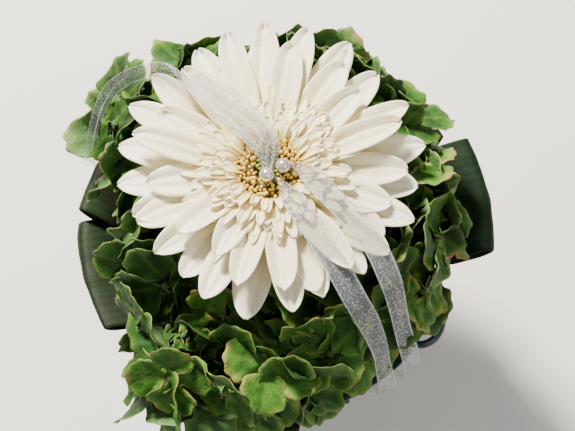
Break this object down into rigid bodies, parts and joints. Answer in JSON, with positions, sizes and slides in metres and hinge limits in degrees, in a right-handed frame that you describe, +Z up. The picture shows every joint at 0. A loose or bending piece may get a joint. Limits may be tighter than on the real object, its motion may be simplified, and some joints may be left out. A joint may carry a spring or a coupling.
{
  "type": "hand-tied gerbera posy with hydrangea",
  "caption": "Hand-tied posy on its own cut stems: a white gerbera in a dome of green hydrangea, with a collar of folded dark leaves, sheer ribbon and pearl-headed pins.",
  "frame": {"origin": "middle of the posy's outline in plan, on the surface that the cut stems stand on", "axes": "+Z up along the gerbera's stem to its face, -Y towards the viewer who sees two ribbon strands run down to the right"},
  "size_m": [0.174, 0.1716, 0.2106],
  "materials": {
    "white_petal": "soft satin petal",
    "cream_floret": "soft satin petal",
    "gold_disc": "matt, pollen-dusted",
    "calyx_green": "satin",
    "stem_green": "satin",
    "woody_green": "matt",
    "sepal_green": "matt, veined",
    "leaf_green": "glossy, ribbed",
    "organza": "sheer, shimmering",
    "twine": "matt jute",
    "pearl": "pearlescent gloss",
    "pin_steel": "bright wire"
  },
  "bodies": {
    "root": {"gerbera_outer_petals": "white_petal", "gerbera_middle_petals": "white_petal", "gerbera_inner_florets": "cream_floret", "gerbera_disc": "gold_disc", "gerbera_calyx": "calyx_green", "gerbera_stem": "stem_green", "ribbon_back_left": "organza", "ribbon_front_left": "organza", "ribbon_front_right": "organza", "ribbon_wrap": "organza", "ribbon_knot": "organza", "bent_leaf_stalk": "leaf_green", "hydrangea_head_1": "sepal_green", "hydrangea_stem_1": "woody_green", "hydrangea_head_2": "sepal_green", "hydrangea_stem_2": "woody_green", "hydrangea_head_3": "sepal_green", "hydrangea_stem_3": "woody_green", "hydrangea_head_4": "sepal_green", "hydrangea_stem_4": "woody_green", "hydrangea_head_5": "sepal_green", "hydrangea_stem_5": "woody_green", "aspidistra_leaf_1": "leaf_green", "aspidistra_stalk_1": "stem_green", "aspidistra_leaf_2": "leaf_green", "aspidistra_stalk_2": "stem_green", "aspidistra_leaf_3": "leaf_green", "aspidistra_stalk_3": "stem_green", "aspidistra_leaf_4": "leaf_green", "aspidistra_stalk_4": "stem_green", "aspidistra_leaf_5": "leaf_green", "aspidistra_stalk_5": "stem_green", "aspidistra_leaf_6": "leaf_green", "aspidistra_stalk_6": "stem_green", "aspidistra_leaf_7": "leaf_green", "aspidistra_stalk_7": "stem_green", "aspidistra_leaf_8": "leaf_green", "aspidistra_stalk_8": "stem_green", "binding_twine": "twine", "pin_front": "pin_steel", "pearl_front": "pearl", "pin_back": "pin_steel", "pearl_back": "pearl"}
  },
  "joints": []
}
